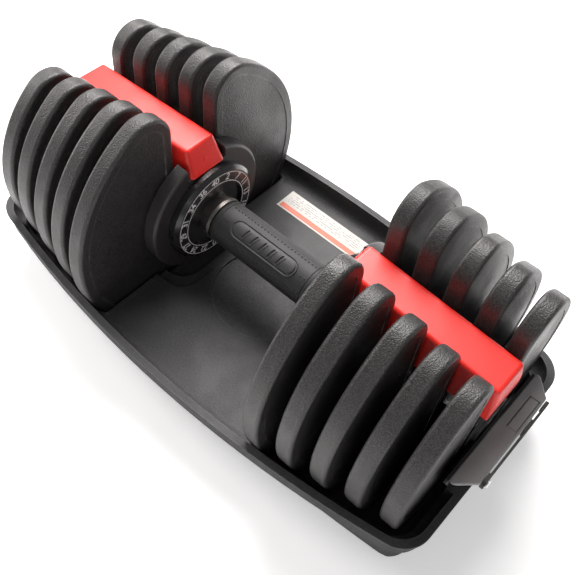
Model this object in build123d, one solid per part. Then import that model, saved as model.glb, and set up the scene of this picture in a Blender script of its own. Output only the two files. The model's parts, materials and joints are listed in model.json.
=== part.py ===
from build123d import *
import os

# Adjustable dumbbell in its storage tray.
# X runs along the handle, Y from front to back, Z up. The origin is on the ground
# under the middle of the tray. All sizes are in millimetres.

# ---- driving dimensions ----
axis_height = 95.0          # handle axis above the ground
face_gap = 0.3              # air between touching pieces of different bodies
running_fit = 0.06          # radial play of a turning fit

# weight plates
plate_count = 5
first_plate_x = 86.0        # inner face of the first plate
plate_thickness = 15.2
plate_gap = 12.7
plate_radius = 125.0        # the plate beside the handle
plate_radius_step = 5.1     # each plate further out is this much smaller
plate_flat_depth = 88.0     # flat underside below the handle axis
slot_half_width = 22.5
slot_floor_depth = 17.0     # floor of the slot below the handle axis
lobe_corner = 24.0
slot_floor_corner = 3.0
plate_edge = 3.0
dish_margin = 9.0
dish_depth = 0.6
hook_tab_length = 3.5
hook_tab_height = 6.0
hook_tab_width = 8.0

# grip and centre axle
grip_length = 104.0
grip_radius = 19.2
grip_core_radius = 14.0
axle_radius = 8.0
pad_length = 70.0
pad_width = 17.0
pad_height = 1.2
pad_tilt = 29.0             # pads lean this far forward from the top
collar_radius = 19.8
collar_neck_radius = 17.0

# dials
dial_face_x = 63.0
dial_radius = 46.0
dial_thickness = 8.5
dial_bevel = 3.0
dial_dish_radius = 31.5
dial_dish_depth = 2.5
detent_radius = 38.0
detent_ball_radius = 2.2
detent_groove_depth = 1.8

# selector barrels
cam_radius = 28.5
cam_lip_width = 4.5
cam_lip_length = 4.0
cam_web = 3.5
dial_settings = 16          # weights that the dial can select in one turn
cam_face_gap = 0.8
cam_step_angle = 360.0 / dial_settings

# housings between the dials and the plates
housing_radius = 61.0
housing_thickness = 12.5
housing_wall = 3.5
housing_edge = 3.0
bush_wall = 3.0
bush_length = 5.0
dial_housing_gap = 0.5

# red covers
cover_top_half = 15.0
cover_bottom_half = 20.5
cover_inner_top = 70.0      # heights above the handle axis
cover_outer_top = 60.0
cover_bottom = 30.0
cover_wall = 2.5
cover_end_slope = 9.5       # of the end beside the dial
cover_outer_slope = 2.0
cover_edge = 3.5
spine_half_width = 12.0
spine_top = 44.0
spine_height = 6.0
end_plate_thickness = 4.0
end_plate_radius = 26.0

# tray
tray_end_room = 21.2         # from the last plate to the end of the tray
tray_side_room = 5.5         # from the edge of the plates to the sides of the tray
tray_end_side_room = 6.4
tray_end_station_inset = 29.0
tray_corner = 26.0
rim_height = 57.0
rim_flange = 3.0
rim_thickness = 2.5
wall = 3.0
floor_height = 40.0
floor_edge = 12.0           # rounding between the tray floor and the rim
tub_inner_x = 80.0
tub_inset = 10.0
tub_corner = 8.0
tub_lean_height = 30.0       # the long sides lean in below this height
tub_bottom_room = 4.73       # from the plates' flats to the sides at the bottom
cradle_corner = 20.0
foot_height = 3.0
foot_radius = 9.0
rib_thickness = 7.5
rib_top = 34.0
rib_half_width = 58.0
cradle_outer = (51.0, 53.0, 36.0)   # inner end, half width, floor height
cradle_inner = (61.0, 42.5, 29.0)
saucer_radius = 48.0
saucer_depth = 2.2
label_size = (94.0, 24.0, 0.4)
label_centre = (-17.0, 95.0)

# end towers, carry straps and release buttons
tower_top = 95.0
tower_room = 8.2             # from the last plate to the tower
tower_depth = 17.5
tower_inner_half = 64.0
tower_outer_half = 46.6
tower_wall = 3.0
tower_lean = 20.0           # the ends of the tower lean out by this much towards the top
liner_thickness = 2.0
button_span = (5.0, 39.0)
button_depth = 10.5
button_thickness = 4.0
button_travel = 2.5
button_clearance = 0.4
stem_radius = 2.5
stem_guide_wall = 1.5
strap_pivot_y = -39.0
strap_end_y = 45.0
strap_height = 9.0
strap_below_top = 6.5
strap_thickness = 2.0
strap_standoff = 1.1
pivot_radius = 2.5
pivot_head_radius = 4.5
pivot_head = 1.6

# lock pins
lock_pin_x = 80.0
lock_pin_radius = 2.5
lock_collar_radius = 4.3
lock_travel = 4.0

os.makedirs("parts", exist_ok=True)


# ---- helpers ----
def save(name, solid):
    """Writes one piece as a STEP file under its node name."""
    solid.label = name
    export_step(solid, f"parts/{name}.step")


def save_pair(name, right):
    """Writes a piece of the right end and the same piece turned to the left end."""
    save(f"{name}_right", right)
    save(f"{name}_left", Rot(0, 0, 180) * right)


def ring(outer, inner, x0, x1, y=0.0, z=0.0):
    """A tube, or a rod where inner is 0, along X; y and z are measured from the axis."""
    place = Pos((x0 + x1) / 2, y, axis_height + z) * Rot(0, 90, 0)
    body = place * Cylinder(outer, x1 - x0)
    if inner:
        body -= place * Cylinder(inner, x1 - x0 + 2)
    return body


def slab(sketch, x0, x1):
    """A sketch in the Y-Z plane, drawn about the axis, extruded from x0 to x1."""
    return Pos(0, 0, axis_height) * extrude(Plane.YZ.offset(x0) * sketch, x1 - x0)


def block(x0, x1, y0, y1, z0, z1):
    """A box between two corners."""
    return Pos((x0 + x1) / 2, (y0 + y1) / 2, (z0 + z1) / 2) * Box(x1 - x0, y1 - y0, z1 - z0)


def post(radius, x, y, z0, z1, bore=0.0):
    """An upright cylinder, with a bore right through it where one is given."""
    body = Pos(x, y, (z0 + z1) / 2) * Cylinder(radius, z1 - z0)
    if bore:
        body -= Pos(x, y, (z0 + z1) / 2) * Cylinder(bore, z1 - z0 + 2)
    return body


def plate_x(index):
    """Inner face of the weight plate with this index, counted outwards from 0."""
    return first_plate_x + index * (plate_thickness + plate_gap)


# ---- sizes of the tray that follow the plates ----
last_plate_face = plate_x(plate_count - 1) + plate_thickness
last_plate_radius = plate_radius - (plate_count - 1) * plate_radius_step
tray_half_length = last_plate_face + tray_end_room
tray_end_station = tray_half_length - tray_end_station_inset
tray_mid_half_width = plate_radius + tray_side_room
tray_end_half_width = last_plate_radius + tray_end_side_room
tower_inner_x = last_plate_face + tower_room


# ---- weight plates ----
def weight_plate(index):
    """A round plate with a flat underside and a slot from the top down to the handle."""
    radius = plate_radius - index * plate_radius_step
    x0 = plate_x(index)
    disc = Circle(radius) & (Pos(0, radius - plate_flat_depth) * Rectangle(2 * radius, 2 * radius))
    slot_height = radius + slot_floor_depth
    slot = Pos(0, slot_height / 2 - slot_floor_depth) * Rectangle(2 * slot_half_width, slot_height)
    outline = disc - slot
    corners = outline.vertices().sort_by(Axis.Y)
    outline = fillet(corners[-2:], lobe_corner)
    floor_corners = outline.vertices().filter_by(lambda v: abs(v.Y + slot_floor_depth) < 0.01)
    outline = fillet(floor_corners, slot_floor_corner)
    tips = outline.vertices().filter_by(lambda v: abs(v.Y + plate_flat_depth) < 0.01)
    outline = fillet(tips, 6.0)
    plate = slab(outline, x0, x0 + plate_thickness)
    flat_faces = plate.faces().filter_by(Axis.X)
    plate = fillet(flat_faces.edges(), plate_edge)
    dish = offset(outline, -dish_margin)
    for start in (x0 - 1, x0 + plate_thickness - dish_depth):
        plate -= slab(dish, start, start + 1 + dish_depth)
    tab_top = axis_height - slot_floor_depth
    plate += block(x0 - hook_tab_length, x0 + plate_thickness / 2, -hook_tab_width / 2,
                   hook_tab_width / 2, tab_top - hook_tab_height, tab_top)
    return plate


for index in range(plate_count):
    save_pair(f"weight_plate_{index + 1}", weight_plate(index))

# ---- centre axle, fixed to both end plates ----
end_plate_x = last_plate_face + 0.8
end_plate_out = end_plate_x + end_plate_thickness
bolt_head = end_plate_thickness * 0.625
axle_end = end_plate_out - bolt_head
bolt_radius = 4.0
bolt_depth = 20.0
axle = ring(axle_radius, 0, -axle_end, axle_end)
for side in (-1, 1):
    start, end = sorted((side * (axle_end - bolt_depth), side * (axle_end + 1)))
    axle -= ring(bolt_radius, 0, start, end)
save("center_axle", axle)

bolt = ring(11.0, 0, axle_end, end_plate_out)
bolt -= ring(3.5, 0, end_plate_out - 1.5, end_plate_out + 1)
bolt += ring(bolt_radius, 0, axle_end - bolt_depth + 1, axle_end)
save("axle_bolts", Compound([bolt, Rot(0, 0, 180) * bolt]))

# ---- grip: core tube, rubber sleeve, pads and collars ----
housing_x = dial_face_x + dial_thickness + dial_housing_gap
core_end = housing_x
axle_bore = axle_radius + running_fit
save("grip_core", ring(grip_core_radius, axle_bore, -core_end, core_end))
sleeve_end = grip_length / 2
save("grip_sleeve", ring(grip_radius, grip_core_radius, -sleeve_end, sleeve_end))

pad_band = ring(grip_radius + pad_height, grip_radius, -pad_length, pad_length)
pad_shape = extrude(SlotOverall(pad_length, pad_width), 2 * grip_radius)
pads = []
for tilt in (pad_tilt, pad_tilt + 180):
    turned = Pos(0, 0, axis_height) * Rot(tilt, 0, 0) * pad_shape
    pads += (pad_band & turned).solids()
save("grip_pads", Compound(pads))

collar_start = sleeve_end + 0.2
collar_end = dial_face_x + dial_dish_depth
collar_profile = Polyline(
    (collar_start, grip_core_radius), (collar_start, collar_radius),
    (collar_start + 3, collar_radius), (collar_end, collar_neck_radius),
    (collar_end, grip_core_radius), close=True)
collar = revolve(Plane.XZ * make_face(collar_profile), Axis.X)
save_pair("collar", Pos(0, 0, axis_height) * collar)


# ---- dials with the number ring ----
dial_back = dial_face_x + dial_thickness
dial = ring(dial_radius, 0, dial_face_x, dial_back)
dial = chamfer(dial.edges().filter_by(GeomType.CIRCLE).sort_by(Axis.X)[0], dial_bevel)
dial -= ring(dial_dish_radius, 0, dial_face_x - 1, dial_face_x + dial_dish_depth)
dial -= ring(grip_core_radius, 0, dial_face_x, dial_back + 1)
groove_half = detent_ball_radius + 0.4
dial -= ring(detent_radius + groove_half, detent_radius - groove_half,
             dial_back - detent_groove_depth - face_gap, dial_back + 1)
save_pair("dial", dial)


# ---- selector barrels, and the cams on them that hook the plates ----
barrel_end = end_plate_x - face_gap
save_pair("selector_barrel", ring(grip_core_radius, axle_bore, core_end, barrel_end))

cams = []
for index in range(plate_count):
    lip_end = plate_x(index) - cam_face_gap
    lip_start = lip_end - cam_lip_length
    cam = ring(cam_radius, grip_core_radius, lip_start - cam_web, lip_end)
    cam -= ring(cam_radius - cam_lip_width, 0, lip_start, lip_end + 1)
    # gaps in the lip let this plate stay behind at some settings
    for step in range(1, dial_settings):
        if (step + 2 * index) % (index + 3) == 1:
            gap = block(lip_start, lip_end + 1, -6, 6, axis_height - cam_radius - 2,
                        axis_height - cam_radius + cam_lip_width + 1)
            turn = Pos(0, 0, axis_height) * Rot(step * cam_step_angle, 0, 0) * Pos(0, 0, -axis_height)
            cam -= turn * gap
    cams += cam.solids()
save_pair("selector_cams", Compound(cams))

# ---- covers ----
cover_x0 = housing_x - 1.5
cover_x1 = end_plate_out
cover_front_bottom = dial_radius + 1.0


def cover_block(shrink):
    """The cover's outer shape, or its cavity where shrink is the wall thickness."""
    open_by = 1 if shrink else 0
    low = cover_bottom - open_by
    knee = spine_top + cover_wall + 1
    side = Polyline(
        (cover_x0 + shrink, cover_front_bottom + shrink),
        (cover_x0 + cover_end_slope + shrink, cover_inner_top - shrink),
        (cover_x1 - cover_outer_slope - shrink, cover_outer_top - shrink),
        (cover_x1 - shrink, knee - shrink),
        (cover_x1 - shrink, low),
        (first_plate_x - open_by, low),
        (first_plate_x - open_by, cover_front_bottom + shrink), close=True)
    length = extrude(Plane.XZ * make_face(side), cover_bottom_half + 5, both=True)
    section = Polyline(
        (-cover_bottom_half + shrink, low), (cover_bottom_half - shrink, low),
        (cover_top_half - shrink, cover_inner_top + 1),
        (-cover_top_half + shrink, cover_inner_top + 1), close=True)
    width = extrude(Plane.YZ * make_face(section), cover_x1 + 10)
    return Pos(0, 0, axis_height) * length & Pos(0, 0, axis_height) * width


cover = cover_block(0)
upper = axis_height + cover_front_bottom + 4
long_edges = [e for e in cover.edges() if e.center().Z > upper]
cover = fillet(long_edges, cover_edge)
cover -= cover_block(cover_wall)
boss_x = (first_plate_x + 30, cover_x1 - 40)
spine_z = axis_height + spine_top
screw_radius = 2.0
for x in boss_x:
    cover += post(5.0, x, 0, spine_z, spine_z + 40) & cover_block(0)
    cover -= post(screw_radius, x, 0, spine_z - 1, spine_z + 10)
save_pair("cover", cover)

# ---- spine bar under each cover, with its screws ----
spine_x0 = housing_x + housing_wall
spine = block(spine_x0, end_plate_x, -spine_half_width, spine_half_width,
              spine_z - spine_height, spine_z)
screws = []
for x in boss_x:
    spine -= post(screw_radius, x, 0, spine_z - spine_height - 1, spine_z + 1)
    screw = post(screw_radius, x, 0, spine_z - spine_height, spine_z + 9)
    screw += post(4.0, x, 0, spine_z - spine_height - 2.5, spine_z - spine_height)
    screws += [screw, Rot(0, 0, 180) * screw]
save_pair("spine_bar", spine)
save("cover_screws", Compound(screws))

# ---- end plates ----
end_shape = Circle(end_plate_radius)
end_shape += Pos(0, spine_top / 2) * Rectangle(2 * spine_half_width + 4, spine_top)
end_plate = slab(end_shape, end_plate_x, end_plate_out - cover_wall - 0.3)
end_plate += ring(end_plate_radius - 6, 0, end_plate_x, end_plate_out)
end_plate -= ring(axle_radius, 0, end_plate_x - 1, end_plate_out + 1)
end_plate -= ring(11.0, 0, axle_end, end_plate_out + 1)
save_pair("end_plate", end_plate)

# ---- housings, bushes, pointers ----
housing_back = housing_x + housing_thickness
bush_radius = grip_core_radius + bush_wall
housing = ring(housing_radius, 0, housing_x, housing_back)
front_edge = housing.edges().filter_by(GeomType.CIRCLE).sort_by(Axis.X)[0]
housing = fillet(front_edge, housing_edge)
housing -= ring(housing_radius - housing_wall, 0, housing_x + housing_wall, housing_back + 1)
notch_half = cover_bottom_half + 0.2
housing -= block(housing_x - 1, housing_back + 1, -notch_half, notch_half,
                 axis_height + cover_front_bottom - 0.2, axis_height + housing_radius + 1)
housing -= ring(bush_radius, 0, housing_x - 1, housing_back + 1)
spring_bore = detent_ball_radius + 0.2
detent_x = housing_x + 0.3
housing += ring(5.0, 0, housing_x + housing_wall, housing_back - 1.5, y=detent_radius)
housing -= ring(spring_bore, 0, housing_x - 1, housing_back - 3.5, y=detent_radius)
# guide block for the lock pin, and the pin's way out through the rim
pin_guide_z = axis_height - 38.0
housing += block(housing_x + housing_wall, housing_back - 1, -6, 6, pin_guide_z - 3, pin_guide_z + 3)
pin_clear = lock_pin_radius + 0.3
housing -= post(pin_clear, lock_pin_x, 0, axis_height - housing_radius - 1, pin_guide_z + 4)
save_pair("housing", housing)
save_pair("bush", ring(bush_radius, grip_core_radius + running_fit, housing_x, housing_x + bush_length))

ball = Pos(detent_x, detent_radius, axis_height) * Sphere(detent_ball_radius)
ball_pair = [ball, Rot(0, 0, 180) * ball]
save("detent_balls", Compound(ball_pair))
spring = ring(2.0, 1.3, detent_x + detent_ball_radius, housing_back - 3.6, y=detent_radius)
save("detent_springs", Compound([spring, Rot(0, 0, 180) * spring]))

# ---- lock pins ----
cradle_floor = cradle_inner[2]
pin_stop = cradle_floor + 1.7
pin = post(lock_pin_radius, lock_pin_x, 0, pin_stop + face_gap, pin_guide_z + 2)
collar_z = pin_guide_z - 11.0
lock_collar = post(lock_collar_radius, lock_pin_x, 0, collar_z - 2, collar_z)
save_pair("lock_pin", pin + lock_collar)
lock_spring = post(lock_collar_radius, lock_pin_x, 0, collar_z + face_gap, pin_guide_z - 3, pin_clear + 0.2)
save("lock_springs", Compound([lock_spring, Rot(0, 0, 180) * lock_spring]))


# ---- tray ----
def tray_plan(inset):
    """Plan of the tray: bowed long sides, straight ends, rounded corners."""
    x = tray_half_length - inset
    y_end = tray_end_half_width - inset
    y_mid = tray_mid_half_width - inset
    reach = tray_end_station
    bow = (y_mid - y_end) * ((x / reach) ** 2)
    y = y_mid - bow
    lines = ThreePointArc((-x, y), (0, y_mid), (x, y)) + Line((x, y), (x, -y))
    lines += ThreePointArc((x, -y), (0, -y_mid), (-x, -y)) + Line((-x, -y), (-x, y))
    face = make_face(lines)
    return fillet(face.vertices(), tray_corner - inset / 2)


def level(sketch, z0, z1):
    """A plan sketch extruded between two heights."""
    return extrude(Plane.XY.offset(z0) * sketch, z1 - z0)


def tub_plan(inset):
    """Plan of the deep pocket under the right-hand plates."""
    x0 = tub_inner_x + inset
    x1 = tray_half_length
    half = tray_plan(tub_inset + inset) & (Pos((x0 + x1) / 2, 0) * Rectangle(x1 - x0, 300))
    inner = [v for v in half.vertices() if abs(v.X - x0) < 0.01]
    return fillet(inner, tub_corner - inset)


pocket_floor = axis_height - plate_flat_depth - face_gap


def tub_block(inset, z0, z1):
    """The deep pocket's outer shape, or its cavity; the long sides lean in towards the ground."""
    wide = tray_mid_half_width - tub_inset - inset
    flat_half = (plate_radius ** 2 - plate_flat_depth ** 2) ** 0.5
    narrow = flat_half + tub_bottom_room + wall - inset
    knee = z0 + tub_lean_height
    section = Polyline((-narrow, z0), (narrow, z0), (wide, knee), (wide, z1),
                       (-wide, z1), (-wide, knee), close=True)
    return level(tub_plan(inset), z0, z1) & extrude(Plane.YZ * make_face(section), 300)


tray = level(tray_plan(rim_flange), floor_height - wall, rim_height)
tray += level(tray_plan(0), rim_height - rim_thickness, rim_height)
cradle_depth = cradle_floor - wall
for side in (0, 180):
    turn = Rot(0, 0, side)
    tray += turn * tub_block(0, foot_height, floor_height)
    tray += turn * block(cradle_outer[0] - wall, tub_inner_x + wall, -cradle_outer[1] - wall,
                         cradle_outer[1] + wall, cradle_depth, floor_height)
deck_x = tray_half_length - tub_inset - wall
pan = level(tray_plan(rim_flange + wall), floor_height, rim_height + 1)
pan = fillet(pan.faces().sort_by(Axis.Z)[0].edges(), floor_edge)
deck_half = tower_inner_half - tower_lean + 2
deck = block(deck_x, tray_half_length, -deck_half, deck_half, floor_height, rim_height)
tray -= pan - deck - Rot(0, 0, 180) * deck


def cradle_cut(size, top):
    """A recess with rounded inner corners, open towards the plates."""
    x0, half, z0 = size
    x1 = tub_inner_x + wall + 1
    plan = Pos((x0 + x1) / 2, 0) * Rectangle(x1 - x0, 2 * half)
    plan = fillet([v for v in plan.vertices() if v.X < x0 + 1], cradle_corner)
    return level(plan, z0, top)


for side in (0, 180):
    turn = Rot(0, 0, side)
    tray -= turn * tub_block(wall, pocket_floor, rim_height + 1)
    tray -= turn * cradle_cut(cradle_outer, floor_height + 1)
    tray -= turn * cradle_cut(cradle_inner, floor_height)
    tray += turn * post(4.0, lock_pin_x, 0, cradle_floor - wall, pin_stop)
    for index in range(plate_count - 1):
        x = plate_x(index) + plate_thickness + plate_gap / 2
        tray += turn * block(x - rib_thickness / 2, x + rib_thickness / 2, -rib_half_width,
                             rib_half_width, pocket_floor - 0.5, rib_top)
tray -= level(Circle(saucer_radius), floor_height - saucer_depth, floor_height + 1)
tray += level(Circle(saucer_radius - 1.5), floor_height - saucer_depth - 1.5, floor_height - saucer_depth)

# ---- towers on the tray ends ----
tower_outer_x = tower_inner_x + tower_depth
boss_z = rim_height + 19.0
button_y = (button_span[0] + button_span[1]) / 2
button_x0 = tower_outer_x - button_depth
stem_x = tray_half_length - stem_guide_wall - stem_radius - 0.5


def tower_block(shrink, z0, z1):
    """Trapezoid block of the tower, or its cavity where shrink is the wall."""
    plans = []
    for z in (z0, z1):
        lean = tower_lean * (tower_top - z) / (tower_top - rim_height)
        inner_half = tower_inner_half - lean - 1.5 * shrink
        outer_half = tower_outer_half - lean - shrink
        plan = make_face(Polyline(
            (tower_inner_x + shrink, -inner_half), (tower_outer_x - shrink, -outer_half),
            (tower_outer_x - shrink, outer_half), (tower_inner_x + shrink, inner_half), close=True))
        plans.append(Plane.XY.offset(z) * fillet(plan.vertices(), 3.0))
    return loft(plans, ruled=True)


tower = tower_block(0, rim_height, tower_top)
tower = fillet(tower.faces().sort_by(Axis.Z)[-1].edges(), 1.5)
tower -= tower_block(tower_wall, rim_height - 1, tower_top - tower_wall)
tower -= block(button_x0, tower_outer_x - 1.8, button_span[0], button_span[1],
               tower_top - button_thickness - button_travel - 1, tower_top + 1)
strap_z = tower_top - strap_below_top
pivot_boss_x = tower_outer_x - tower_wall - 4
pivot_boss = ring(5.5, 0, pivot_boss_x, tower_outer_x - 1, y=strap_pivot_y, z=strap_z - axis_height)
tower += pivot_boss & tower_block(0, rim_height, tower_top)
tower -= ring(pivot_radius, 0, pivot_boss_x - 1, tower_outer_x + 1, y=strap_pivot_y,
              z=strap_z - axis_height)
tower_screw_y = (-26.0, 10.0)
screw_x = tower_inner_x + tower_wall + 3.5
for y in tower_screw_y:
    tower += post(4.0, screw_x, y, rim_height, rim_height + 14)
    tower -= post(screw_radius, screw_x, y, rim_height - 1, rim_height + 10)
save_pair("tower", tower)

liner_x1 = tower_inner_x
liner_low = tower_inner_half - tower_lean
liner_plan = make_face(Polyline(
    (-liner_low, rim_height), (liner_low, rim_height), (tower_inner_half - 2, tower_top - 2),
    (-tower_inner_half + 2, tower_top - 2), close=True))
liner_plan = Plane.YZ.offset(liner_x1 - liner_thickness) * fillet(liner_plan.vertices(), 3)
liner = extrude(liner_plan, liner_thickness)
save_pair("tower_liner", liner)

tower_screws = []
for y in tower_screw_y:
    screw = post(screw_radius, screw_x, y, rim_height - 6, rim_height + 9)
    screw += post(3.5, screw_x, y, rim_height - 8, rim_height - 6)
    tower_screws += [screw, Rot(0, 0, 180) * screw]
    for side in (0, 180):
        hole = post(screw_radius, screw_x, y, rim_height - 7, rim_height + 1)
        hole += post(3.5, screw_x, y, floor_height - wall - 1, rim_height - 6)
        tray -= Rot(0, 0, side) * hole
save("tower_screws", Compound(tower_screws))

# ---- release buttons on sprung stems ----
stem_bottom = boss_z - 3.0
button = block(button_x0 + button_clearance, tower_outer_x - 1.8 - button_clearance,
               button_span[0] + button_clearance, button_span[1] - button_clearance,
               tower_top - button_thickness, tower_top)
button += post(stem_radius, stem_x, button_y, stem_bottom, tower_top - button_thickness)
button = fillet(button.faces().sort_by(Axis.Z)[-1].edges(), 1.0)
save_pair("release_button", button)
stem_bore = stem_radius + 0.3
button_spring = post(stem_bore + 1.3, stem_x, button_y, boss_z,
                     tower_top - button_thickness - button_travel - face_gap, stem_bore + 0.2)
save("button_springs", Compound([button_spring, Rot(0, 0, 180) * button_spring]))
for side in (0, 180):
    guide = post(stem_bore + stem_guide_wall, stem_x, button_y, rim_height - 1, boss_z)
    guide -= post(stem_bore, stem_x, button_y, stem_bottom - button_travel - 1, boss_z + 1)
    tray += Rot(0, 0, side) * guide

# the tray is welded up from its pan, two pockets under the plates and two cradles
cradle_plan_x = (cradle_outer[0] - wall, tub_inner_x)
cradle_room = block(*cradle_plan_x, -cradle_outer[1] - wall, cradle_outer[1] + wall,
                    cradle_depth, floor_height - wall)
pocket_room = level(tub_plan(0), foot_height, floor_height)
pin_post = post(4.0, lock_pin_x, 0, cradle_depth, pin_stop)
pocket = (tray & pocket_room) - pin_post
flange = level(tub_plan(-4), floor_height - wall - 2.5, floor_height - wall)
flange &= block(tub_inner_x + 4, tray_half_length - tub_inset - 6, -200, 200, 0, floor_height)
pocket += flange - pocket_room
save_pair("plate_pocket", pocket)
save_pair("cradle", (tray & cradle_room) + pin_post)
for side in (0, 180):
    tray -= Rot(0, 0, side) * (pocket_room + cradle_room + pin_post)
save("tray", tray)

# ---- carry straps, held by a pivot screw at one end ----
strap_inner = tower_outer_x + face_gap + 0.1
strap_mid = strap_inner + strap_standoff
strap_outer = strap_mid + strap_thickness
strap_z0 = strap_z - strap_height / 2
strap_z1 = strap_z + strap_height / 2
strap = block(strap_mid, strap_outer, strap_pivot_y - 5, strap_end_y, strap_z0, strap_z1)
for y0, y1 in ((strap_pivot_y - 5, strap_pivot_y + 6), (12, 24), (strap_end_y - 6, strap_end_y)):
    strap += block(strap_inner, strap_mid, y0, y1, strap_z0, strap_z1)
upright = strap.edges().filter_by(Axis.X).filter_by(lambda e: e.center().Y < strap_pivot_y)
strap = fillet(upright, 3.5)
strap_offset = strap_z - axis_height
strap -= ring(pivot_radius + 0.3, 0, strap_inner - 1, strap_outer + 1, y=strap_pivot_y, z=strap_offset)
save_pair("carry_strap", strap)
pivot = ring(pivot_radius, 0, pivot_boss_x, strap_outer + face_gap, y=strap_pivot_y, z=strap_offset)
head_x = strap_outer + face_gap
pivot += ring(pivot_head_radius, 0, head_x, head_x + pivot_head, y=strap_pivot_y, z=strap_offset)
save("strap_screws", Compound([pivot, Rot(0, 0, 180) * pivot]))

# ---- feet and label ----
feet = []
for x in (tub_inner_x + 30, tray_half_length - tub_inset - 30):
    for y in (-70, 70):
        foot = post(foot_radius, x, y, 0, foot_height)
        feet += [foot, Rot(0, 0, 180) * foot]
save("tray_feet", Compound(feet))
label = Pos(label_centre[0], label_centre[1], floor_height + label_size[2] / 2) * Box(*label_size)
save("tray_label", label)
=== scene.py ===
import json
from math import atan2, cos, hypot, pi, radians, sin, tau

import bmesh
import bpy
from bpy.props import FloatProperty, FloatVectorProperty, IntProperty, PointerProperty
from mathutils import Matrix, Vector


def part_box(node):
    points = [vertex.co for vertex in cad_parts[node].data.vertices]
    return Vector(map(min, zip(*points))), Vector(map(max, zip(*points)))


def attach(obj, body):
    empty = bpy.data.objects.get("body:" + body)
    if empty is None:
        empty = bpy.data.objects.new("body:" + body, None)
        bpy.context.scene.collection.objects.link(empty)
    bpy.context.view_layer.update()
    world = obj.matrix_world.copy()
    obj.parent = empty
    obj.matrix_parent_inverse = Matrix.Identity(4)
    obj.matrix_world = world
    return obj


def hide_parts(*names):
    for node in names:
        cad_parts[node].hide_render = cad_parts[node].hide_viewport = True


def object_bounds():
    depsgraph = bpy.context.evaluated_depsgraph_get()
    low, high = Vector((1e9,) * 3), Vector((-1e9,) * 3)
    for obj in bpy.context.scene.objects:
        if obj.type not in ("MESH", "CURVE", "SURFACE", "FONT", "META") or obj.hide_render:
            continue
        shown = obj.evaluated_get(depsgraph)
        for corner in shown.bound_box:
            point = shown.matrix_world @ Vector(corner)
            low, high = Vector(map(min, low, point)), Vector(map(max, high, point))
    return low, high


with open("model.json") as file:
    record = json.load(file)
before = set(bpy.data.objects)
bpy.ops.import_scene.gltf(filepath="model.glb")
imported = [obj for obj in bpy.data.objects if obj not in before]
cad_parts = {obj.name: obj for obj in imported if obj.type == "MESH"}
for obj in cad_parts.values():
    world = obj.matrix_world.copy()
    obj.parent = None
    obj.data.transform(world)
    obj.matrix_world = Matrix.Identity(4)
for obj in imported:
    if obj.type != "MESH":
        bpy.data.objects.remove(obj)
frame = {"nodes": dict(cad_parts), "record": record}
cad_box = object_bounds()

bl_info = {
    "name": "Adjustable dumbbell",
    "version": (1, 0, 0),
    "blender": (4, 5, 0),
    "location": "View3D > Sidebar > Dumbbell",
    "description": "Finishes and detail pieces for a dial-a-weight dumbbell in its tray",
    "category": "Object",
}

# handle axis height, read from the centre axle
AXIS = sum(corner.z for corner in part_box("center_axle")) / 2
SIDES = {"left": -1, "right": 1}


def length(name, description, default):
    """A size in metres for the sidebar."""
    return FloatProperty(name=name, description=description, default=default, unit="LENGTH", precision=5)


def angle(name, description, default):
    """An angle given in degrees for the sidebar."""
    return FloatProperty(name=name, description=description, default=radians(default), unit="ROTATION")


def tint(name, description, default):
    """A colour for the sidebar."""
    return FloatVectorProperty(name=name, description=description, default=default, size=3,
                               subtype="COLOR", min=0, max=1)


class DumbbellSizes(bpy.types.PropertyGroup):
    """Sizes of the detail pieces."""

    ring_line: length("Ring line", "Width of the two printed lines on a dial", 0.0007)
    ring_outer: length("Outer line radius", "Radius of the outer printed line", 0.0413)
    ring_inner: length("Inner line radius", "Radius of the inner printed line", 0.0328)
    number_height: length("Number height", "Height of the numbers on a dial", 0.0062)
    ink: length("Ink thickness", "How far the print stands off the dial", 0.00008)
    grip_dot: length("Grip dot", "Radius of one raised dot on the grip", 0.0009)
    grip_dot_pitch: length("Dot spacing", "Distance between the dots of a row", 0.0036)
    pad_tilt: angle("Pad tilt", "How far the front pad leans forward from the top", 29.0)
    pointer: length("Pointer", "Size of the pointer on a cover", 0.0028)
    pointer_height: length("Pointer height", "From the foot of the cover's end to the pointer", 0.0095)
    cover_slope: length("Cover slope", "How far the end of a cover slopes back", 0.0095)
    pad_ribs: IntProperty(name="Pad ribs", description="Number of ribs on each grip pad", default=5, min=1)


class DumbbellColours(bpy.types.PropertyGroup):
    """Colours of the finishes."""

    iron: tint("Plate paint", "Hammered paint on the iron plates", (0.023, 0.022, 0.0215))
    tray: tint("Tray", "Moulded plastic of the tray", (0.030, 0.030, 0.031))
    tower: tint("Towers", "Satin plastic of the end towers", (0.240, 0.232, 0.228))
    cover: tint("Covers", "Satin red plastic of the covers", (0.90, 0.019, 0.012))
    housing: tint("Housings", "Satin black plastic of the housings", (0.030, 0.026, 0.027))
    rubber: tint("Grip rubber", "Rubber of the grip sleeve", (0.022, 0.022, 0.023))
    band: tint("Label band", "Coloured band along the front of the label", (0.60, 0.070, 0.006))
    ink: tint("Dial print", "Print on the dials", (0.86, 0.86, 0.85))


# ---- node trees ----
def put(tree, kind, inputs=None, **settings):
    """Adds a shader node; inputs are values or the sockets that feed them."""
    made = tree.nodes.new("ShaderNode" + kind)
    for name, value in settings.items():
        setattr(made, name, value)
    for socket, value in (inputs or {}).items():
        if isinstance(value, bpy.types.NodeSocket):
            tree.links.new(value, made.inputs[socket])
        else:
            made.inputs[socket].default_value = value
    return made


def math(tree, operation, *values):
    """A Math node, as the socket that it gives."""
    return put(tree, "Math", dict(enumerate(values)), operation=operation).outputs[0]


def mix(tree, factor, a, b):
    """A colour mix, as the socket that it gives."""
    made = put(tree, "Mix", {0: factor, 6: a, 7: b}, data_type="RGBA")
    return made.outputs[2]


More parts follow.
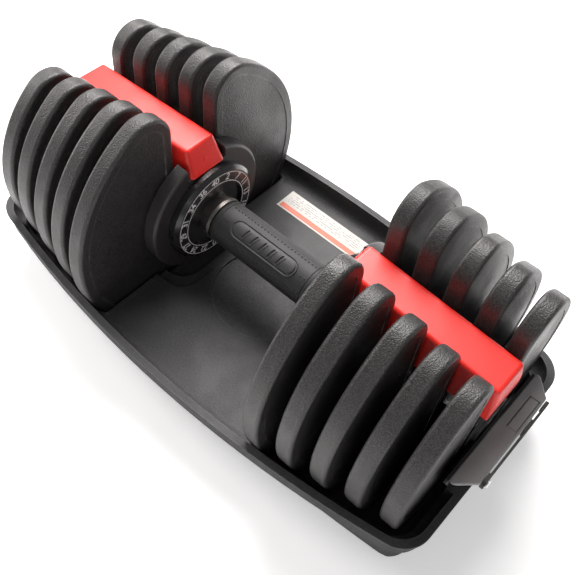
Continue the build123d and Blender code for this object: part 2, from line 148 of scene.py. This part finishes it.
def spread(tree, value, low, high, to_low=0.0, to_high=1.0):
    """A Map Range node, as the socket that it gives."""
    made = put(tree, "MapRange", {0: value, 1: low, 2: high, 3: to_low, 4: to_high},
               interpolation_type="SMOOTHSTEP")
    return made.outputs[0]


def place(tree):
    """Object coordinates, in metres from the middle of the tray's underside."""
    return put(tree, "TexCoord").outputs["Object"]


def open_group(name, inputs, outputs):
    """A new shader node group and its two ends."""
    group = bpy.data.node_groups.new(name, "ShaderNodeTree")
    for label, kind, default in inputs:
        socket = group.interface.new_socket(label, in_out="INPUT", socket_type=kind)
        if default is not None:
            socket.default_value = default
    for label, kind in outputs:
        group.interface.new_socket(label, in_out="OUTPUT", socket_type=kind)
    return group, group.nodes.new("NodeGroupInput").outputs, group.nodes.new("NodeGroupOutput")


FLOAT = "NodeSocketFloat"


def make_edge_wear():
    """Where a surface turns a corner: a mask broken up by noise, for paler worn corners and a painted edge
    highlight.
    """
    group, given, result = open_group(
        "Edge Wear And Highlight", [("Reach", FLOAT, 0.0012), ("Breaks", FLOAT, 90.0)], [("Mask", FLOAT)])
    rounded = put(group, "Bevel", {"Radius": given["Reach"]}, samples=6)
    flat = put(group, "NewGeometry").outputs["Normal"]
    turn = put(group, "VectorMath", {0: rounded.outputs[0], 1: flat}, operation="DOT_PRODUCT")
    corner = spread(group, turn.outputs["Value"], 0.995, 0.86)
    chips = put(group, "TexNoise", {"Vector": place(group), "Scale": given["Breaks"], "Detail": 3.0})
    broken = spread(group, chips.outputs["Fac"], 0.30, 0.62)
    group.links.new(math(group, "MULTIPLY", corner, broken), result.inputs["Mask"])
    return group


def make_cast_skin():
    """Hammered skin of a painted casting: pebbles, fine pits and cloudy patches."""
    group, given, result = open_group(
        "Cast Skin", [("Pebbles", FLOAT, 900.0)], [("Height", FLOAT), ("Mottle", FLOAT), ("Clouds", FLOAT)])
    at = place(group)
    pebbles = put(group, "TexVoronoi", {"Vector": at, "Scale": given["Pebbles"], "Smoothness": 0.6},
                  feature="SMOOTH_F1")
    fine_scale = math(group, "MULTIPLY", given["Pebbles"], 1.1)
    fine = put(group, "TexNoise", {"Vector": at, "Scale": fine_scale, "Detail": 2.0, "Roughness": 0.5})
    height = math(group, "MULTIPLY_ADD", fine.outputs["Fac"], 0.9, pebbles.outputs["Distance"])
    clouds = put(group, "TexNoise", {"Vector": at, "Scale": 22.0, "Detail": 5.0, "Roughness": 0.6})
    group.links.new(height, result.inputs["Height"])
    group.links.new(spread(group, fine.outputs["Fac"], 0.38, 0.66), result.inputs["Mottle"])
    group.links.new(spread(group, clouds.outputs["Fac"], 0.35, 0.68), result.inputs["Clouds"])
    return group


def make_moulded_grain():
    """Fine spark-eroded texture of moulded plastic, with faint rubbed patches."""
    group, given, result = open_group(
        "Moulded Grain", [("Grain", FLOAT, 1500.0)],
        [("Height", FLOAT), ("Mottle", FLOAT), ("Rubbed", FLOAT)])
    at = place(group)
    grain = put(group, "TexNoise", {"Vector": at, "Scale": given["Grain"], "Detail": 2.0, "Roughness": 0.7})
    rubbed = put(group, "TexNoise", {"Vector": at, "Scale": 14.0, "Detail": 6.0, "Roughness": 0.62})
    group.links.new(grain.outputs["Fac"], result.inputs["Height"])
    group.links.new(spread(group, grain.outputs["Fac"], 0.36, 0.68), result.inputs["Mottle"])
    group.links.new(spread(group, rubbed.outputs["Fac"], 0.40, 0.70), result.inputs["Rubbed"])
    return group


def make_turned_marks():
    """Fine rings left by turning about the handle axis."""
    group, given, result = open_group("Turned Marks", [("Rings", FLOAT, 900.0)], [("Height", FLOAT)])
    along = put(group, "SeparateXYZ", {0: place(group)})
    stretched = put(group, "CombineXYZ", {0: math(group, "MULTIPLY", along.outputs[0], given["Rings"])})
    marks = put(group, "TexNoise", {"Vector": stretched.outputs[0], "Scale": 1.0, "Detail": 3.0})
    group.links.new(marks.outputs["Fac"], result.inputs["Height"])
    return group


class Finish:
    """A material that is built up around one Principled shader."""

    def __init__(self, name, roughness=0.5, **fixed):
        self.material = bpy.data.materials.new(name)
        self.material.use_nodes = True
        self.tree = self.material.node_tree
        self.shader = self.tree.nodes["Principled BSDF"]
        self.shader.inputs["Roughness"].default_value = roughness
        for socket, value in fixed.items():
            self.shader.inputs[socket.replace("_", " ")].default_value = value

    def group(self, kind, **inputs):
        """A shared effect, as its output sockets."""
        made = put(self.tree, "Group", node_tree=bpy.data.node_groups[kind])
        for socket, value in inputs.items():
            made.inputs[socket].default_value = value
        return made.outputs

    def colour(self, value):
        self.tree.links.new(value, self.shader.inputs["Base Color"])

    def rough(self, value):
        self.tree.links.new(value, self.shader.inputs["Roughness"])

    def bump(self, height, distance, strength=1.0):
        made = put(self.tree, "Bump", {"Height": height, "Distance": distance, "Strength": strength})
        self.tree.links.new(made.outputs[0], self.shader.inputs["Normal"])


def shade(colour, factor):
    """A colour made lighter or darker, with its alpha."""
    return tuple(min(1.0, channel * factor) for channel in colour[:3]) + (1.0,)


def moulded(name, colour, roughness, grain=1500.0, depth=0.00006, wear_and_highlight_lift=2.6, reach=0.0010, **fixed):
    """Moulded plastic or rubber: fine grain, rubbed patches, and paler corners that are partly wear and
    partly a painted edge highlight.
    """
    made = Finish(name, **fixed)
    tree = made.tree
    skin = made.group("Moulded Grain", Grain=grain)
    edge = made.group("Edge Wear And Highlight", Reach=reach, Breaks=140.0)["Mask"]
    body = mix(tree, skin["Mottle"], shade(colour, 0.70), shade(colour, 1.35))
    body = mix(tree, math(tree, "MULTIPLY", skin["Rubbed"], 0.5), body, shade(colour, 1.35))
    # paler corners: partly real wear, partly a painted highlight along the edges
    made.colour(mix(tree, math(tree, "MULTIPLY", edge, 0.55), body, shade(colour, wear_and_highlight_lift)))
    made.rough(spread(tree, skin["Rubbed"], 0.0, 1.0, roughness + 0.04, roughness - 0.06))
    made.bump(skin["Height"], depth)
    return made.material


def painted_iron(name, colour):
    """Hammered paint over cast iron, with the corners painted much paler, partly as rubbed paint and partly
    as a painted edge highlight.
    """
    made = Finish(name, Specular_IOR_Level=0.55)
    tree = made.tree
    skin = made.group("Cast Skin", Pebbles=950.0)
    edge = made.group("Edge Wear And Highlight", Reach=0.0030, Breaks=150.0)["Mask"]
    body = mix(tree, skin["Mottle"], shade(colour, 0.40), shade(colour, 1.9))
    body = mix(tree, math(tree, "MULTIPLY", skin["Clouds"], 0.30), body, shade(colour, 2.2))
    # the pale edge colour is partly rubbed paint and partly a painted highlight along the rims
    made.colour(mix(tree, math(tree, "MULTIPLY", edge, 0.75), body, shade(colour, 9.0)))
    made.rough(spread(tree, skin["Clouds"], 0.0, 1.0, 0.50, 0.38))
    made.bump(skin["Height"], 0.00024)
    return made.material


def bare_metal(name, colour, roughness, rings=900.0):
    """Turned or drawn metal with fine rings and small stains."""
    made = Finish(name, Metallic=1.0)
    tree = made.tree
    marks = made.group("Turned Marks", Rings=rings)["Height"]
    stains = made.group("Moulded Grain", Grain=260.0)
    stained = math(tree, "MULTIPLY", stains["Rubbed"], 0.6)
    made.colour(mix(tree, stained, shade(colour, 1.0), shade(colour, 0.72)))
    made.rough(math(tree, "MULTIPLY_ADD", marks, 0.16, roughness - 0.08))
    made.bump(marks, 0.00002)
    return made.material


def gloss_dial(name):
    """Polished black plastic with a fine moulded grain and faint patches."""
    made = Finish(name, Coat_Weight=0.25, Coat_Roughness=0.12)
    tree = made.tree
    skin = made.group("Moulded Grain", Grain=420.0)
    made.colour(mix(tree, skin["Rubbed"], (0.008, 0.008, 0.009, 1), (0.014, 0.013, 0.014, 1)))
    made.rough(spread(tree, skin["Rubbed"], 0.0, 1.0, 0.24, 0.34))
    made.bump(skin["Height"], 0.000006)
    return made.material


def printed_label(name, band):
    """White film with a coloured band along the front and rows of plain grey dashes."""
    made = Finish(name, Specular_IOR_Level=0.3)
    tree = made.tree
    low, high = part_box("tray_label")
    at = put(tree, "SeparateXYZ", {0: place(tree)}).outputs
    across = put(tree, "MapRange", {0: at[1], 1: low.y, 2: high.y}).outputs[0]
    along = put(tree, "MapRange", {0: at[0], 1: low.x, 2: high.x}).outputs[0]

    def window(value, start, end):
        after = math(tree, "GREATER_THAN", value, start)
        return math(tree, "MULTIPLY", after, math(tree, "LESS_THAN", value, end))

    lines = math(tree, "MULTIPLY", across, 10.0)
    row = math(tree, "FRACT", lines)
    rows = window(row, 0.35, 0.72)
    line_seed = math(tree, "MULTIPLY", math(tree, "FLOOR", lines), 7.3)
    at_word = put(tree, "CombineXYZ", {0: math(tree, "MULTIPLY", along, 42.0), 1: line_seed}).outputs[0]
    words = put(tree, "TexNoise", {"Vector": at_word, "Scale": 1.0, "Detail": 0.0}).outputs["Fac"]
    dashes = math(tree, "MULTIPLY", rows, math(tree, "GREATER_THAN", words, 0.47))
    field = math(tree, "MULTIPLY", window(across, 0.38, 0.92), window(along, 0.05, 0.96))
    dashes = math(tree, "MULTIPLY", math(tree, "MULTIPLY", dashes, field), 0.85)
    clean, rubbed, ash = (0.56, 0.54, 0.51, 1), (0.50, 0.48, 0.45, 1), (0.20, 0.20, 0.21, 1)
    film = mix(tree, made.group("Moulded Grain", Grain=900.0)["Rubbed"], clean, rubbed)
    face = mix(tree, dashes, film, ash)
    stripe = math(tree, "MULTIPLY", window(across, 0.07, 0.29), window(along, 0.02, 0.98))
    made.colour(mix(tree, stripe, face, shade(band, 1.0)))
    made.rough(math(tree, "MULTIPLY_ADD", stripe, -0.08, 0.42))
    made.bump(math(tree, "ADD", stripe, dashes), 0.00002)
    return made.material


def printed_ink(name, colour):
    """Pad-printed white ink, slightly uneven."""
    made = Finish(name)
    skin = made.group("Moulded Grain", Grain=2200.0)
    made.colour(mix(made.tree, skin["Mottle"], shade(colour, 0.90), shade(colour, 1.04)))
    made.rough(spread(made.tree, skin["Mottle"], 0.0, 1.0, 0.40, 0.52))
    made.bump(skin["Height"], 0.00001)
    return made.material


FINISHES = {}


def mix_finishes(colours):
    """Makes every finish, keyed by the material slot that it is for."""
    make_edge_wear()
    make_cast_skin()
    make_moulded_grain()
    make_turned_marks()
    # in each moulded finish the number after the bump depth sets how much paler the corners are painted:
    # partly wear, partly a painted edge highlight
    FINISHES.update({
        "plate_iron": painted_iron("hammered iron paint", colours.iron),
        "tray_plastic": moulded("tray plastic", colours.tray, 0.62, 650, 0.00030, 3.6, 0.0018),
        "tower_plastic": moulded("tower plastic", colours.tower, 0.46, 1600, 0.00005, 2.0),
        "liner_plastic": moulded("liner plastic", (0.012, 0.012, 0.012), 0.55),
        "foot_rubber": moulded("foot rubber", (0.02, 0.02, 0.02), 0.75, 1100, 0.00010),
        "label_film": printed_label("label film", colours.band),
        "zinc_steel": bare_metal("zinc plated steel", (0.62, 0.62, 0.63), 0.32),
        "spring_steel": bare_metal("spring steel", (0.50, 0.50, 0.52), 0.28, 1500),
        "bright_steel": bare_metal("ground steel", (0.62, 0.62, 0.63), 0.24, 1200),
        "bush_nylon": moulded("bush nylon", (0.72, 0.70, 0.64), 0.42, wear_and_highlight_lift=1.1, Subsurface_Weight=0.1),
        "cover_red": moulded("cover red", colours.cover, 0.40, 2400, 0.00002, 1.12, 0.0016, Coat_Weight=0.12,
                             Coat_Roughness=0.30),
        "black_steel": moulded("powder coated steel", (0.024, 0.024, 0.025), 0.48, 900, 0.00009, 4.0),
        "housing_plastic": moulded("housing plastic", colours.housing, 0.44, 900, 0.00014, 3.4, 0.0020),
        "grip_rubber": moulded("grip rubber", colours.rubber, 0.58, 1000, 0.00016, 2.6),
        "pad_rubber": moulded("pad rubber", shade(colours.rubber, 1.7), 0.48, 1200, 0.00012, 3.4, 0.0007),
        "collar_metal": bare_metal("satin collar metal", (0.36, 0.33, 0.31), 0.36, 700),
        "dial_gloss": gloss_dial("dial gloss"),
        "cam_metal": bare_metal("die cast cams", (0.42, 0.42, 0.43), 0.45, 500),
        "strap_plastic": moulded("strap plastic", (0.030, 0.027, 0.024), 0.38, 1500, 0.00004, 2.6),
        "button_plastic": moulded("button plastic", shade(colours.tower, 1.05), 0.44, 1600, 0.00005, 2.0),
        "dial_ink": printed_ink("dial ink", colours.ink),
    })


# ---- mesh helpers ----
def finish_piece(name, bm, body, finish, replaced=(), crease=35.0):
    """Turns a bmesh into a named piece that rides on a body of the frame."""
    bmesh.ops.remove_doubles(bm, verts=bm.verts, dist=1e-6)
    bmesh.ops.recalc_face_normals(bm, faces=bm.faces)
    mesh = bpy.data.meshes.new(name)
    bm.to_mesh(mesh)
    bm.free()
    mesh.shade_smooth()
    mesh.set_sharp_from_angle(angle=radians(crease))
    mesh.materials.append(FINISHES[finish])
    piece = bpy.data.objects.new(name, mesh)
    bpy.context.scene.collection.objects.link(piece)
    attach(piece, body)
    if replaced:
        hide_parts(*replaced)
    return piece


def turned(bm, section, steps=96, centre=(0, 0, AXIS), axis=(1, 0, 0)):
    """Spins a closed section of (along, radius) points about an axis along X or Z."""
    upright = axis[2] == 1
    corners = []
    for along, radius in section:
        point = (radius, 0, along) if upright else (along, 0, radius)
        corners.append(bm.verts.new(Vector(centre) + Vector(point)))
    edges = [bm.edges.new((corners[i - 1], corners[i])) for i in range(len(corners))]
    bmesh.ops.spin(bm, geom=corners + edges, cent=centre, axis=axis, angle=tau, steps=steps, use_merge=True)


def coil(bm, centre, wire, radius, start, end, turns):
    """An upright coil spring: a wire circle spun up a helix between two heights."""
    axis, out = Vector((0, 0, 1)), Vector((1, 0, 0))
    origin = Vector(centre) + axis * (start + wire)
    across = out.cross(axis).to_track_quat("Z", "Y").to_matrix().to_4x4()
    place_ring = Matrix.Translation(origin + out * radius) @ across
    ring = bmesh.ops.create_circle(bm, segments=8, radius=wire, cap_ends=True, matrix=place_ring)["verts"]
    faces = list({f for v in ring for f in v.link_faces})
    steps_per_turn = 20
    steps = turns * steps_per_turn
    rise = axis * ((end - start - 2 * wire) / steps)
    bmesh.ops.spin(bm, geom=faces, cent=origin, axis=axis, dvec=rise, angle=tau * turns, steps=steps)


# ---- pieces ----
def dial_number(bm, text, height, ink, face_x, radius, turn, facing):
    """One number, moulded flat, stood up against the dial face and turned to its place."""
    curve = bpy.data.curves.new("number", "FONT")
    curve.body = text
    curve.size = height / 0.7
    curve.space_character = 0.92
    curve.offset = height * 0.018
    curve.align_x = curve.align_y = "CENTER"
    curve.extrude = ink / 2
    helper = bpy.data.objects.new("number", curve)
    bpy.context.scene.collection.objects.link(helper)
    bpy.context.view_layer.update()
    mesh = bpy.data.meshes.new_from_object(helper.evaluated_get(bpy.context.evaluated_depsgraph_get()))
    # text lies in XY facing +Z; stand it in YZ facing along the handle
    stand = Matrix(((0, 0, facing), (facing, 0, 0), (0, 1, 0))).to_4x4()
    spot = Matrix.Translation((face_x + facing * ink / 2, 0, AXIS)) @ Matrix.Rotation(-turn, 4, "X")
    mesh.transform(spot @ Matrix.Translation((0, 0, radius)) @ stand)
    bm.from_mesh(mesh)
    bpy.data.objects.remove(helper)
    bpy.data.meshes.remove(mesh)
    bpy.data.curves.remove(curve)


DIAL_NUMBERS = (40, 2, 7, 11, 13, 15, 16, 18, 20, 22, 24, 27, 29, 31, 34, 36)


def make_dial_print(side, sizes):
    """Two ring lines and the numbers between them, on the face of one dial."""
    low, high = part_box(f"dial_{side}")
    facing = -SIDES[side]
    face_x = high.x if facing > 0 else low.x
    bm = bmesh.new()
    for radius in (sizes.ring_outer, sizes.ring_inner):
        ends = (face_x, face_x + facing * sizes.ink)
        half = sizes.ring_line / 2
        turned(bm, [(ends[0], radius - half), (ends[1], radius - half), (ends[1], radius + half),
                    (ends[0], radius + half)], steps=128)
    for place_number, value in enumerate(DIAL_NUMBERS):
        dial_number(bm, str(value), sizes.number_height, sizes.ink, face_x,
                    (sizes.ring_outer + sizes.ring_inner) / 2, tau * place_number / len(DIAL_NUMBERS), facing)
    finish_piece(f"dial_print_{side}", bm, "selector", "dial_ink", crease=30)


def make_grip_sleeve(sizes):
    """Rubber sleeve with a grooved band at each end and rows of raised dots."""
    low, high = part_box("grip_sleeve")
    end, radius = high.x, (high.z - low.z) / 2
    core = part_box("grip_core")[1].z - AXIS
    # rounded end, then a groove: how far in from the end, and how far below the surface
    band = ((0.0, 0.0016), (0.0004, 0.0007), (0.0013, 0.0001), (0.0042, 0.0), (0.0047, 0.0006),
            (0.0055, 0.0006), (0.0060, 0.0001), (0.0080, 0.0))
    half = [(end, core)] + [(end - inward, radius - below) for inward, below in band]
    section = half + [(-x, r) for x, r in reversed(half)]
    bm = bmesh.new()
    turned(bm, section, steps=96)
    reach = end - 0.0085
    count = int(2 * reach / sizes.grip_dot_pitch)
    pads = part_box("grip_pads")
    for turn in (sizes.pad_tilt, sizes.pad_tilt + pi):
        for across in (-42, 0, 42):
            for step in range(count + 1):
                x = -reach + 2 * reach * step / count
                if across == 0 and abs(x) < pads[1].x + 0.0020:
                    continue
                tilt = turn + radians(across)
                at = Matrix.Translation((x, 0, AXIS)) @ Matrix.Rotation(tilt, 4, "X")
                at = at @ Matrix.Translation((0, 0, radius)) @ Matrix.Diagonal((1, 1, 0.9, 1))
                bmesh.ops.create_icosphere(bm, subdivisions=1, radius=sizes.grip_dot, matrix=at)
    finish_piece("grip_sleeve_dotted", bm, "selector", "grip_rubber", ("grip_sleeve",))


def pad_height(x, y, half_length, half_width, ribs):
    """Height of a grip pad over the sleeve: raised lip, gutter, domed pad, ribs with a slot beside each."""
    straight = half_length - half_width
    inside = half_width - hypot(max(abs(x) - straight, 0.0), y)

    def ease(value, start, stop):
        t = min(max((value - start) / (stop - start), 0.0), 1.0)
        return t * t * (3 - 2 * t)

    lip = ease(inside, 0.0, 0.0006) * (1 - ease(inside, 0.0009, 0.0015))
    pad = ease(inside, 0.0021, 0.0032)
    dome = 1 - (y / half_width) ** 2 * 0.35
    height = -0.0003 + 0.0009 * lip + 0.0003 * ease(inside, 0.0, 0.0006) + 0.00105 * pad * dome
    spacing = 2 * straight * 0.70 / max(ribs - 1, 1)
    for index in range(ribs):
        centre = (index - (ribs - 1) / 2) * spacing
        along = x - centre - 0.28 * y
        reach = abs(y + 0.0002) - 0.0036
        rib = 1 - ease(hypot(along - 0.0008, max(reach, 0.0)), 0.0006, 0.0013)
        slot = 1 - ease(hypot(along + 0.0010, max(reach, 0.0)), 0.00025, 0.0008)
        height += 0.0004 * rib - 0.0010 * slot
    return height


def make_grip_pads(sizes):
    """Two oval pads, each a fine sheet shaped by height and wrapped round the sleeve."""
    half_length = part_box("grip_pads")[1].x
    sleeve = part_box("grip_sleeve")[1].z - AXIS
    half_width = 0.0085
    margin = 0.0006
    for name, turn in (("front", sizes.pad_tilt), ("back", sizes.pad_tilt + pi)):
        bm = bmesh.new()
        size = Matrix.Diagonal((half_length + margin, half_width + margin, 1, 1))
        bmesh.ops.create_grid(bm, x_segments=240, y_segments=64, size=1, matrix=size)
        for vert in bm.verts:
            x, y, _ = vert.co
            radius = sleeve + pad_height(x, y, half_length, half_width, sizes.pad_ribs)
            around = turn - y / sleeve
            vert.co = (x, -radius * sin(around), AXIS + radius * cos(around))
        bmesh.ops.solidify(bm, geom=bm.faces[:], thickness=0.0005)
        replaced = ("grip_pads",) if name == "front" else ()
        finish_piece(f"grip_pad_{name}", bm, "selector", "pad_rubber", replaced, 60)


def make_springs():
    """Coil springs in place of the plain tubes of the frame."""
    # body, wire radius, turns, outside radius, and whether the pair stands off the middle plane
    kinds = {"button_springs": ("tray_base", 0.0006, 9, 0.0041, True),
             "lock_springs": ("handle", 0.0005, 5, 0.0043, False)}
    for node, (body, wire, turns, outer, stands_off) in kinds.items():
        low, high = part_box(node)
        bm = bmesh.new()
        centre_x = high.x - outer
        centre_y = (high.y - outer) if stands_off else 0.0
        for side in (-1, 1):
            coil(bm, (side * centre_x, side * centre_y, 0), wire, outer - wire, low.z, high.z, turns)
        finish_piece(f"{node}_coiled", bm, body, "spring_steel", (node,))


def make_pointers(sizes):
    """A small moulded pointer on the sloping end of each cover, above the chosen number."""
    for side, sign in SIDES.items():
        low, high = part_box(f"cover_{side}")
        end_x = min(abs(low.x), abs(high.x))
        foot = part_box(f"dial_{side}")[1].z + 0.001
        slope = sizes.cover_slope / (high.z - foot)
        height = foot + sizes.pointer_height - AXIS
        x = end_x + (sizes.pointer_height - 0.0005) * slope
        lean = Matrix.Rotation(sign * (-pi / 2 + atan2(slope, 1)), 4, "Y")
        spin = Matrix.Rotation(pi / 2 * (1 + sign), 4, "Z")
        at = Matrix.Translation((sign * x, 0, AXIS + height)) @ lean @ spin
        bm = bmesh.new()
        bmesh.ops.create_cone(bm, cap_ends=True, segments=3, radius1=sizes.pointer,
                              radius2=sizes.pointer * 0.85, depth=sizes.pointer * 0.2,
                              matrix=at @ Matrix.Rotation(pi / 2, 4, "Z"))
        bmesh.ops.bevel(bm, geom=bm.edges[:], offset=sizes.pointer * 0.05, segments=2, profile=0.5,
                        affect="EDGES", material=-1)
        finish_piece(f"cover_pointer_{side}", bm, "handle", "cover_red", crease=30)


def make_strap_screws():
    """Domed screws with a round driver recess, in place of the plain pins of the straps."""
    low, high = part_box("strap_screws")
    head_radius = (high.z - low.z) / 2
    shank = head_radius * 5 / 9
    head = head_radius * 0.36
    depth_in_tower, chamfer = 0.007, 0.0004
    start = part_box("tower_right")[1].x - depth_in_tower
    height = (high.z + low.z) / 2
    bm = bmesh.new()
    for sign in (1, -1):
        top, base = high.x, high.x - head
        section = [(start, 0), (start, shank - chamfer), (start + chamfer, shank), (base, shank),
                   (base, head_radius), (base + head * 0.45, head_radius),
                   (top - head * 0.12, head_radius * 0.72),
                   (top, head_radius * 0.48), (top - head * 0.15, head_radius * 0.42),
                   (base + head * 0.2, head_radius * 0.40), (base + head * 0.1, 0)]
        section = [(sign * along, radius) for along, radius in section]
        turned(bm, section, steps=48, centre=(0, sign * (low.y + head_radius), height))
    finish_piece("strap_screws_domed", bm, "tray_base", "zinc_steel", ("strap_screws",), 30)


# ---- stage ----
def make_floor():
    """A plain pale floor under the tray, reaching far outside it."""
    bm = bmesh.new()
    bmesh.ops.create_grid(bm, x_segments=1, y_segments=1, size=4.0,
                          matrix=Matrix.Translation((0, 0, cad_box[0][2] - 0.0004)))
    mesh = bpy.data.meshes.new("floor")
    bm.to_mesh(mesh)
    bm.free()
    paint = Finish("floor paint", roughness=0.9)
    clouds = paint.group("Moulded Grain", Grain=40.0)
    paint.colour(mix(paint.tree, clouds["Rubbed"], (0.93, 0.93, 0.93, 1), (0.90, 0.90, 0.90, 1)))
    paint.shader.inputs["Emission Color"].default_value = (1, 1, 1, 1)
    paint.shader.inputs["Emission Strength"].default_value = 0.35
    mesh.materials.append(paint.material)
    floor = bpy.data.objects.new("floor", mesh)
    bpy.context.scene.collection.objects.link(floor)


def make_light(name, azimuth, elevation, distance, size, power, colour=(1, 1, 1)):
    """An area light that looks at the dumbbell from a compass angle and a height."""
    lamp = bpy.data.lights.new(name, "AREA")
    lamp.shape = "RECTANGLE"
    lamp.size, lamp.size_y = size
    lamp.energy = power
    lamp.color = colour
    light = bpy.data.objects.new(name, lamp)
    around, up = radians(azimuth), radians(elevation)
    out = Vector((cos(around) * cos(up), sin(around) * cos(up), sin(up)))
    light.location = Vector((0, 0, 0.08)) + out * distance
    light.rotation_euler = out.to_track_quat("Z", "Y").to_euler()
    bpy.context.scene.collection.objects.link(light)


def make_camera():
    """The viewing camera, high on the right front corner and rolled a little."""
    camera = bpy.data.cameras.new("camera")
    camera.lens = 49.53
    camera.sensor_width = 36.0
    camera.clip_start = 0.01
    view = bpy.data.objects.new("camera", camera)
    heading, elevation, roll = radians(36.294), radians(53.961), radians(6.825)
    turn = Matrix.Rotation(heading, 4, "Z") @ Matrix.Rotation(pi / 2 - elevation, 4, "X")
    turn = turn @ Matrix.Rotation(roll, 4, "Z")
    view.matrix_world = Matrix.Translation((0.25281, -0.31493, 0.60635)) @ turn
    bpy.context.scene.collection.objects.link(view)
    bpy.context.scene.camera = view


# ---- operators ----
class DUMBBELL_OT_stage(bpy.types.Operator):
    """Sets up the floor, the soft lights and the camera"""

    bl_idname = "dumbbell.stage"
    bl_label = "Stage"

    def execute(self, context):
        make_camera()
        make_floor()
        make_light("key softbox", 128, 52, 1.4, (0.9, 0.9), 42, (1.0, 0.97, 0.95))
        make_light("left strip", 195, 30, 1.5, (0.5, 1.2), 16, (1.0, 0.96, 0.94))
        make_light("right fill", 318, 30, 1.8, (0.9, 0.7), 4)
        world = bpy.data.worlds.new("studio")
        world.use_nodes = True
        world.node_tree.nodes["Background"].inputs["Color"].default_value = (1.0, 1.0, 1.0, 1)
        world.node_tree.nodes["Background"].inputs["Strength"].default_value = 0.28
        context.scene.world = world
        context.scene.view_settings.view_transform = "Standard"
        return {"FINISHED"}


class DUMBBELL_OT_finishes(bpy.types.Operator):
    """Gives every part of the frame its finish"""

    bl_idname = "dumbbell.finishes"
    bl_label = "Finishes"

    def execute(self, context):
        mix_finishes(context.scene.dumbbell_colours)
        for part in frame["record"]["subparts"]:
            slots = frame["nodes"][part["node"]].data.materials
            slots.clear()
            slots.append(FINISHES[part["material_slot"]])
        return {"FINISHED"}


class DUMBBELL_OT_dial_print(bpy.types.Operator):
    """Prints the ring lines and numbers on both dials"""

    bl_idname = "dumbbell.dial_print"
    bl_label = "Dial print"

    def execute(self, context):
        for side in SIDES:
            make_dial_print(side, context.scene.dumbbell_sizes)
        return {"FINISHED"}


class DUMBBELL_OT_grip(bpy.types.Operator):
    """Makes the dotted grip sleeve and its two ribbed pads"""

    bl_idname = "dumbbell.grip"
    bl_label = "Grip"

    def execute(self, context):
        make_grip_sleeve(context.scene.dumbbell_sizes)
        make_grip_pads(context.scene.dumbbell_sizes)
        return {"FINISHED"}


class DUMBBELL_OT_pointers(bpy.types.Operator):
    """Moulds the pointers on both covers"""

    bl_idname = "dumbbell.pointers"
    bl_label = "Pointers"

    def execute(self, context):
        make_pointers(context.scene.dumbbell_sizes)
        return {"FINISHED"}


class DUMBBELL_OT_strap_screws(bpy.types.Operator):
    """Turns the domed screws of the carry straps"""

    bl_idname = "dumbbell.strap_screws"
    bl_label = "Strap screws"

    def execute(self, context):
        make_strap_screws()
        return {"FINISHED"}


class DUMBBELL_OT_springs(bpy.types.Operator):
    """Winds the button springs and lock springs"""

    bl_idname = "dumbbell.springs"
    bl_label = "Springs"

    def execute(self, context):
        make_springs()
        return {"FINISHED"}


OPERATORS = (DUMBBELL_OT_finishes, DUMBBELL_OT_stage, DUMBBELL_OT_dial_print, DUMBBELL_OT_grip,
             DUMBBELL_OT_pointers, DUMBBELL_OT_strap_screws, DUMBBELL_OT_springs)


class DUMBBELL_PT_panel(bpy.types.Panel):
    """Sizes, colours and makers of the dumbbell"""

    bl_idname = "DUMBBELL_PT_panel"
    bl_label = "Dumbbell"
    bl_space_type = "VIEW_3D"
    bl_region_type = "UI"
    bl_category = "Dumbbell"

    def draw(self, context):
        column = self.layout.column()
        for group in (context.scene.dumbbell_sizes, context.scene.dumbbell_colours):
            for name in group.__annotations__:
                column.prop(group, name)
        for operator in OPERATORS:
            column.operator(operator.bl_idname)


CLASSES = (DumbbellSizes, DumbbellColours) + OPERATORS + (DUMBBELL_PT_panel,)


def register():
    """Adds the classes and the scene's settings."""
    for item in CLASSES:
        bpy.utils.register_class(item)
    bpy.types.Scene.dumbbell_sizes = PointerProperty(type=DumbbellSizes)
    bpy.types.Scene.dumbbell_colours = PointerProperty(type=DumbbellColours)


def unregister():
    """Takes the settings and classes away again."""
    del bpy.types.Scene.dumbbell_colours
    del bpy.types.Scene.dumbbell_sizes
    for item in reversed(CLASSES):
        bpy.utils.unregister_class(item)


def main():
    """Makes the whole dumbbell."""
    register()
    for operator in OPERATORS:
        area, name = operator.bl_idname.split(".")
        getattr(getattr(bpy.ops, area), name)()


if __name__ == "__main__":
    main()
